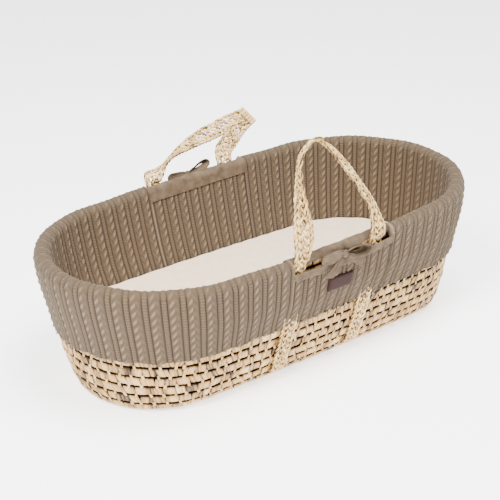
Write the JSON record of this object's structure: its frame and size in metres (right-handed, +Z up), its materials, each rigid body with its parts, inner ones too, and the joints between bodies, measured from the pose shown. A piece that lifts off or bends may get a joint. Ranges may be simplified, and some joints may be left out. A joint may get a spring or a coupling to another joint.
{
  "type": "moses basket",
  "caption": "Oval palm-leaf moses basket with two strap handles, a knitted dressing tied with bows over the rim, and a fitted mattress.",
  "frame": {"origin": "on the resting face, under the middle of the rim", "axes": "+X along the basket towards the raised head end, -Y towards the front with the label, +Z up"},
  "size_m": [0.8438, 0.5153, 0.4355],
  "materials": {
    "palm_leaf": "dry, satin palm leaf",
    "palm_plait": "dry, satin plaited palm leaf",
    "cable_knit": "matte cotton rib and cable knit",
    "plain_tape": "matte plain cotton weave",
    "label_leatherette": "smooth imitation leather",
    "cotton_jersey": "matte cotton jersey",
    "foam": "open cell",
    "elastic": "knitted elastic"
  },
  "bodies": {
    "basket": {"base_panel": "palm_leaf", "wall_row_01": "palm_leaf", "wall_row_02": "palm_leaf", "wall_row_03": "palm_leaf", "wall_row_04": "palm_leaf", "wall_row_05": "palm_leaf", "wall_row_06": "palm_leaf", "wall_row_07": "palm_leaf", "wall_row_08": "palm_leaf", "wall_row_09": "palm_leaf", "wall_row_10": "palm_leaf", "wall_row_11": "palm_leaf", "rim_coil": "palm_leaf", "strap_left": "palm_plait", "strap_right": "palm_plait", "liner_floor": "cable_knit", "liner_wall": "cable_knit", "skirt_foot_end": "cable_knit", "skirt_head_end": "cable_knit", "skirt_front_panel": "cable_knit", "skirt_rear_panel": "cable_knit", "facing_front": "plain_tape", "facing_rear": "plain_tape", "binding_front": "plain_tape", "binding_rear": "plain_tape", "hem_elastic": "elastic", "tie_front_left": "plain_tape", "tie_front_right": "plain_tape", "tie_rear_left": "plain_tape", "tie_rear_right": "plain_tape", "bow_knot_front": "plain_tape", "bow_knot_rear": "plain_tape", "label_patch": "label_leatherette"},
    "mattress": {"mattress_core": "foam", "mattress_sheet": "cotton_jersey", "sheet_elastic": "elastic"},
    "handle_front": {"handle_front": "palm_plait"},
    "handle_rear": {"handle_rear": "palm_plait"}
  },
  "joints": [
    {"name": "handle_front_swing", "type": "hinge", "parent": "basket", "child": "handle_front", "pos_m": [0, -0.2117, 0.254], "axis": [1, 0, 0], "range_deg": [-65, 105]},
    {"name": "handle_rear_swing", "type": "hinge", "parent": "basket", "child": "handle_rear", "pos_m": [0, 0.2117, 0.254], "axis": [-1, 0, 0], "range_deg": [-90, 40]},
    {"name": "mattress_lift", "type": "slide", "parent": "basket", "child": "mattress", "axis": [0, 0, 1], "range_m": [0, 0.45]}
  ]
}
